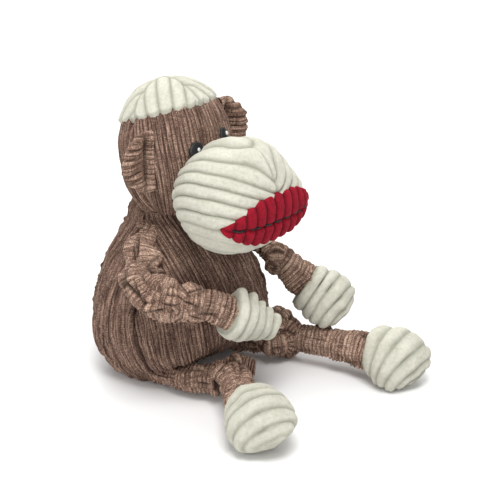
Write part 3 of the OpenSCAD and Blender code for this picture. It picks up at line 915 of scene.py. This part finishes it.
# where each piece runs, with a pair of points at each elbow, wrist and ankle
ARM_SHAPES = {
    "right": dict(
        upper=dict(
            points=[
                (-22, 6, 111), (-33, 0, 104), (-46, -8, 94), (-54, -18, 84), (-56, -30, 78), (-53, -41, 76.5),
                (-47, -48, 76),
            ],
            radii=[(0, 5), (0.15, 9.5), (0.4, 12.5), (0.58, 14.5), (0.75, 14), (0.9, 13), (1, 10)],
            flat=0.85, seed=1, crumple=2.3, seam_at=2.4,
        ),
        elbow=((-58, -8, 84), (-60, -21, 79)),
        knot=dict(
            center=(-46, -50, 75.5), size=8.6, strand=7.0, axis=(-0.6, -0.7, 0.35), spin=0.5, seed=3,
            crumple=2.0,
        ),
        lower=dict(
            points=[(-47, -48, 77), (-38, -58, 75), (-29, -66, 70), (-21, -71, 65), (-17, -73.5, 63)],
            radii=[(0, 8), (0.3, 11.5), (0.6, 12.5), (0.85, 13), (1, 11.5)],
            flat=0.9, seed=5, crumple=1.1, seam_at=1.0,
        ),
        wrist=((-29, -64, 68), (-21, -71, 64)),
        hand=dict(
            points=[(-26, -69, 67), (-19, -72.5, 63), (-11, -77, 58), (-3, -81, 53), (4, -84, 48.5)],
            radii=oval_end([(0, 14.8), (0.15, 16.6), (0.34, 15.6), (0.58, 11.8), (0.82, 8.2)]),
            flat=0.95, up=(0.1, 0.3, 1), seed=2, pitch=8.2, lobes=8.0, seams=(0.25,),
        ),
    ),
    "left": dict(
        upper=dict(
            points=[(30, -3, 101), (43, -6, 95), (55, -15, 84), (59, -24, 79), (57, -38, 75), (54, -48, 73)],
            radii=[(0, 10), (0.25, 11), (0.5, 10.5), (0.65, 10), (0.8, 10), (1, 9)],
            flat=0.85, seed=6, crumple=1.6, seam_at=2.4,
        ),
        elbow=((57, -15, 83), (58, -28, 78)),
        knot=dict(center=(53, -47, 75), size=6.4, strand=6.4, axis=(-0.5, -0.8, 0.3), spin=1.4, seed=8),
        lower=dict(
            points=[(53, -47, 75), (58, -53, 68), (65, -60, 59), (70, -65, 53), (73, -68, 50)],
            radii=[(0, 9), (0.25, 12), (0.55, 13), (0.8, 13), (1, 11)],
            flat=0.9, seed=9, crumple=1.0, seam_at=1.0,
        ),
        wrist=((64, -57, 58), (69, -64, 51)),
        hand=dict(
            points=[(65, -60, 56), (69, -67, 51), (72.5, -76, 45.5), (75, -84, 40), (76.5, -88, 37)],
            radii=oval_end([(0, 16), (0.2, 18), (0.5, 21), (0.75, 20)]),
            flat=[(0, 1), (0.3, 0.9), (0.6, 0.75), (1, 0.4)], up=(-0.4, -0.5, 0.75), seed=4, pitch=9.0,
        ),
    ),
}
for side, shape in ARM_SHAPES.items():
    piece = limb_piece("upper_sleeve", side, [sleeve(**shape["upper"])])
    blended(piece, "upper_arm_" + side, "forearm_" + side, *shape["elbow"])
    limb_piece("arm_knot", side, [knot(**shape["knot"])], "forearm_" + side)
    piece = limb_piece("forearm_sleeve", side, [sleeve(**shape["lower"])])
    blended(piece, "forearm_" + side, "hand_" + side, *shape["wrist"])
    nodes = ("hand_cover_" + side, "hand_filling_" + side)
    add_mesh("hand_" + side[0], [mitt(**shape["hand"])], "cream_corduroy", "hand_" + side, nodes)

# ---- legs

THIGH = dict(radii=[(0, 8), (0.3, 9), (0.6, 12), (1, 13.5)], flat=0.7, crumple=1.1, seam_at=2.6)
SHIN = dict(
    radii=[(0, 9), (0.3, 11), (0.6, 12), (0.85, 13.8), (1, 12.5)], flat=0.9, crumple=1.1, seam_at=2.2
)
FOOT = dict(
    radii=oval_end([(0, 16.5), (0.15, 19), (0.45, 22.6), (0.68, 21.8)]),
    flat=[(0, 0.95), (0.35, 0.82), (0.6, 0.78), (0.82, 0.55), (1, 0.12)],
    pitch=9.4,
    lobes=2.4,
)
LEG_SHAPES = {
    "right": dict(
        seed=21,
        thigh=[(-40, -12, 9), (-38, -24, 10), (-33, -40, 12), (-24, -60, 15)],
        knot=dict(center=(-21, -68, 19.5), size=8.2, strand=7.8, axis=(-0.3, -0.6, 0.75), spin=0.2),
        fringe=dict(
            line=[(-30, -57, 18), (-26, -61, 24), (-19, -66, 27), (-12, -72, 26), (-8, -77, 20)],
            up=(-0.1, -0.2, 1.0),
            tall=14.0,
        ),
        shin=[(-20, -67, 19), (-28, -77, 21), (-38, -91, 21), (-47, -105, 20), (-49, -110, 20)],
        ankle=((-43, -92, 19), (-49, -104, 20)),
        foot=[(-46, -106, 20), (-50, -114, 19.5), (-56, -126, 18), (-62, -138, 14.5), (-64, -142, 12.5)],
        foot_up=(-0.394, 0.141, 0.904),
    ),
    "left": dict(
        seed=27,
        thigh=[(40, -14, 9), (38, -24, 9), (44, -36, 12), (52, -50, 15)],
        knot=dict(center=(50, -50, 18), size=11.8, strand=9.4, axis=(-0.5, -0.6, 0.6), spin=1.0),
        shin=[(54, -55, 16), (61, -74, 17), (68, -95, 17.5), (74, -118, 18), (75, -123, 18)],
        ankle=((69, -100, 17.5), (75, -118, 18)),
        foot=[(73, -117, 18.5), (74.5, -125, 19), (76, -136, 17), (77, -147, 11.5), (77.5, -153, 7.5)],
        foot_up=(-0.5, -0.1, 0.85),
    ),
}
for side, shape in LEG_SHAPES.items():
    seed = shape["seed"]
    limb_piece("thigh_sleeve", side, [sleeve(shape["thigh"], seed=seed, **THIGH)], "thigh_" + side)
    grids = [knot(seed=seed + 1, **shape["knot"])]
    if "fringe" in shape:
        grids += fringe(**shape["fringe"])
    limb_piece("leg_knot", side, grids, "shin_" + side)
    piece = limb_piece("shin_sleeve", side, [sleeve(shape["shin"], seed=seed + 2, **SHIN)])
    blended(piece, "shin_" + side, "foot_" + side, *shape["ankle"])
    grid = mitt(shape["foot"], up=shape["foot_up"], seed=seed + 3, **FOOT)
    nodes = ("foot_cover_" + side, "foot_filling_" + side)
    add_mesh("foot_" + side[0], [grid], "cream_corduroy", "foot_" + side, nodes)

# ---- ears

SIDES = {"right": -1, "left": 1}
EAR_ROOT_X, EAR_PITCH, PLEAT_PITCH = 35.5, 3.3, 5.2
EARS = {
    "right": dict(swept=math.radians(24), y=-11.0, reach=22.5, half=20.5, middle=164.0),
    "left": dict(swept=math.radians(-4), y=-4.0, reach=19.5, half=21.0, middle=169.0),
}


def ear(sx, swept, y, reach, half, middle):
    """A half-round flap of two layers, cupped forwards, with its ribs running outwards and a thick rim."""
    alpha = np.linspace(-math.pi / 2, math.pi / 2, 120)[:, None]
    rr = np.linspace(0.0, 1.0, 60)[None, :]
    out, rise = np.cos(alpha) * rr, np.sin(alpha) * rr
    x, z = reach * out, middle + half * rise
    c, sn = math.cos(swept), math.sin(swept)
    rib, rib_gap, k = ribs(z + LIMB_START, EAR_PITCH, FINE_SHARP)
    grids = []
    for layer in (-1, 1):
        cup = -6.5 * out**2 - 2.5 * np.abs(rise) * out
        cup = cup + layer * 4.2 * np.sqrt(np.clip(1 - rr**5, 0, 1)) * (0.4 + 0.6 * near(rr, 0.80, 0.22))
        p = np.stack([sx * (EAR_ROOT_X + x * c - cup * sn), y + x * sn + cup * c, z], -1)
        pleat, gap, which = ribs(z + 1.2 * noise(p, 12, 2) + 200, PLEAT_PITCH, 2.0)
        # painted shade in the rib grooves
        groove_shade = rib_gap
        h = 0.5 * rib + 0.5 * noise(p, 8) + 0.7 * np.abs(noise(p, 5, 1)) - 0.4
        h = h + (2.3 * pleat - 1.0) * (0.5 + 0.7 * rib_luck(which + 9)) * smoothstep(0.30, 0.60, out)
        if layer < 0:
            # a crease where the front layer is sewn on, with painted shade in it
            h = h - 4.0 * near(out, 0.26, 0.12) * smoothstep(1.0, 0.6, np.abs(rise))
            groove_shade = np.maximum(groove_shade, 0.9 * near(out, 0.26, 0.07) * smoothstep(1.0, 0.7, np.abs(rise)))
        # painted shade in the gaps between the pleats
        groove_shade = np.maximum(groove_shade, 0.8 * gap**3 * smoothstep(0.3, 0.55, out))
        p = p + vec(-sx * sn, c, 0) * layer * (h * smoothstep(1.0, 0.93, rr))[..., None]
        outwards = np.stack([sx * c * np.cos(alpha), sn * np.cos(alpha), np.sin(alpha)], -1)
        uneven = (0.6 * rib + 1.5 * pleat + 0.8 * noise(p, 7)) * smoothstep(0.7, 1.0, rr)
        p = p + outwards * uneven[..., None]
        if layer > 0:
            p[:, -1] = grids[0]["p"][:, -1]
        grids.append(sheet(p, z, x, groove_shade, rib_luck(k + 5), flip=layer * sx > 0))
    return grids


for side, sx in SIDES.items():
    nodes = ("ear_front_" + side, "ear_back_" + side)
    add_mesh(
        "ear_" + side[0], ear(sx, **EARS[side]), "brown_corduroy", "ear_" + side, nodes,
        material="limb_corduroy_lit",
    )

# ---- eyes, stitches


def head_surface(x, z):
    """Point and outward direction on the face at that x and height."""
    p = radial(HEAD, unit(vec(x, -36, z - HEAD[2])), head_inside, HEAD_REACH)
    grad = [head_inside(p + d) - head_inside(p - d) for d in 0.5 * np.eye(3)]
    return p, unit(vec(*grad))


def dome(center, normal, rx, ry, height, count_u=72, count_v=22, satin=0.12):
    """A raised oval of satin stitches."""
    z = unit(normal)
    x = unit(np.cross((0, 0, 1), z))
    y = np.cross(z, x)
    a = turn(count_u)[:, None]
    r = np.linspace(0.001, 1, count_v)[None, :]
    s, t = np.cos(a) * r * rx, np.sin(a) * r * ry
    h = height * np.sqrt(np.clip(1 - r**2.4, 0, 1)) + satin * np.cos(np.sin(a) * r * ry * 9) * (r < 0.97)
    h = h - 0.6 * (r > 0.99)
    p = center + x * s[..., None] + y * t[..., None] + z * h[..., None]
    return sheet(p, s + 20, t + 20, wrap_u=True)


EYES = {"right": (-14.5, 170.0, (5.5, 6.3)), "left": (13.5, 175.0, (4.0, 5.3))}
for side, (x, z, size) in EYES.items():
    c, n = head_surface(x, z)
    add_mesh("eye_" + side[0], [dome(c + n * 0.6, n, *size, 2.4)], "black_thread", "head", ("eye_" + side,))
    glint = dome(c + n * 2.7 + vec(0.8, -0.2, 0.9), n, 1.1, 1.5, 0.7, 28, 8, 0.0)
    add_mesh("glint_" + side[0], [glint], "white_thread", "head", ("eye_glint_" + side,))


def thread_tube(points, r, seed):
    """Twisted thread of radius r along the points."""
    p, s, t, *_ = tube(points, [(0, r), (1, r)], 1.0, (0, 0, 1), 0.4, 14, seed, 1.0, 0.12, 2.0, 0.0, tilt=0.9)
    return closed_ends(p, s, t, 0 * s, 0 * s)


def mouth_at(x, lift):
    """A point on the lips along the mouth, lifted off them by that much."""
    i = int(np.argmin(np.abs(lip_x - x)))
    j = int(np.argmin(np.abs(lip_grid["t"][i] - LIPS_T)))
    q = lip_grid["p"][i, j]
    return q + unit(q - MUZZLE) * lift


MOUTH_STITCHES, MOUTH_SPAN = 7, 37.0
STITCH_LIFTS = (-0.55, 0.6, 0.85, 0.85, 0.85, 0.6, -0.55)  # its ends go into the cloth
stitches = []
for i in range(MOUTH_STITCHES):
    x0, x1 = (-MOUTH_SPAN + 2 * MOUTH_SPAN * (i + share) / MOUTH_STITCHES for share in (0.10, 0.86))
    path = [mouth_at(x, lift) for x, lift in zip(np.linspace(x0, x1, 7), STITCH_LIFTS)]
    stitches.append(thread_tube(path, 0.7, i))
add_mesh("mouth_stitches", stitches, "black_thread", "head", ("mouth_stitching",))


def torso_surface(x, z):
    """Point on the back of the torso at that height along its axis."""
    d = untilted(unit(vec(x, 60, z)), vec(0, 0, 0), TORSO_LEAN)
    return radial(BELLY, d, torso_inside, TORSO_REACH)


CLOSING_STITCHES, CLOSING_STEP = 8, 6.0
closing = []
for i in range(CLOSING_STITCHES):
    z = (i + 1) * CLOSING_STEP
    a, b = torso_surface(-2.6, z), torso_surface(2.6, z + 1.5)
    lift = unit(a - BELLY)
    mid = (a + b) / 2 + lift * 4.6
    path = [a + lift, a + lift * 3.8, mid, b + lift * 3.8, b + lift]
    closing.append(thread_tube(path, 0.6, i + 20))
add_mesh("closing_stitches_b", closing, "brown_thread", "torso", ("closing_stitches",))

# ---- neck

grid = sleeve(
    [(0, 6, 106), (0, 8, 114), (0, 9, 120), (0, 10, 128)], [(0, 18), (0.4, 19.5), (0.7, 19), (1, 17)],
    flat=1.0, seed=31, crumple=0.8, around=160, up=(1, 0, 0),
)
add_mesh("neck_cloth", [grid], "brown_corduroy", "neck", ("neck_filling",))

for name in ("body_squeaker", "head_squeaker"):
    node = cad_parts[name]
    node.data.materials.clear()
    node.data.materials.append(MATERIALS["squeaker_plastic"])

# ---- floor, light, camera


FLOOR_R, FLOOR_Z = 4.0, -0.0004


def stage_floor():
    mesh = bpy.data.meshes.new("floor")
    corners = [(x * FLOOR_R, y * FLOOR_R, FLOOR_Z) for x, y in ((-1, -1), (1, -1), (1, 1), (-1, 1))]
    mesh.from_pydata(corners, [], [(0, 1, 2, 3)])
    floor = bpy.data.objects.new("floor", mesh)
    bpy.context.scene.collection.objects.link(floor)
    n = Nodes("stage_paper")
    grain = n.noise(n.place(), 3.0, 2.0)
    color = n.ramp(grain, [(0.2, (0.86, 0.86, 0.86)), (0.8, (0.88, 0.88, 0.88))])
    n.done(color, 0.9, grain, 0.02, 0.0005)
    mesh.materials.append(n.mat)


stage_floor()
TARGET = Vector((0.0, 0.0, 0.045))


def area(name, place, size, power, aim=TARGET):
    """A square light of that size and power, turned to the point it aims at."""
    data = bpy.data.lights.new(name, "AREA")
    data.size = size
    data.energy = power
    light = bpy.data.objects.new(name, data)
    light.location = place
    light.rotation_euler = (Vector(aim) - Vector(place)).to_track_quat("-Z", "Y").to_euler()
    bpy.context.scene.collection.objects.link(light)


area("key", (-0.25, -0.35, 1.25), 0.6, 12)
area("fill", (-1.1, -0.25, 0.5), 0.9, 3.0)
area("rim", (0.5, 0.8, 0.9), 0.8, 5)
area("backdrop", (1.1, 1.0, 1.2), 1.2, 9, aim=(1.0, 0.9, 0.0))
WORLD_STRENGTH = 0.58
world = bpy.data.worlds.new("studio")
bpy.context.scene.world = world
world.use_nodes = True
background = world.node_tree.nodes["Background"]
background.inputs["Color"].default_value = (1.0, 1.0, 1.0, 1)
background.inputs["Strength"].default_value = WORLD_STRENGTH

AZIMUTH, ELEVATION, DISTANCE = math.radians(-45), math.radians(25), 1.0
CAMERA_AIM, LENS = Vector((0.0446, -0.0205, 0.0815)), 102.2
camera_data = bpy.data.cameras.new("camera")
camera = bpy.data.objects.new("camera", camera_data)
bpy.context.scene.collection.objects.link(camera)
level = math.cos(ELEVATION)
back = Vector((math.sin(AZIMUTH) * level, -math.cos(AZIMUTH) * level, math.sin(ELEVATION)))
camera.location = TARGET + back * DISTANCE
camera.rotation_euler = (CAMERA_AIM - camera.location).to_track_quat("-Z", "Y").to_euler()
camera_data.lens = LENS
bpy.context.scene.camera = camera
bpy.context.scene.view_settings.view_transform = "Standard"
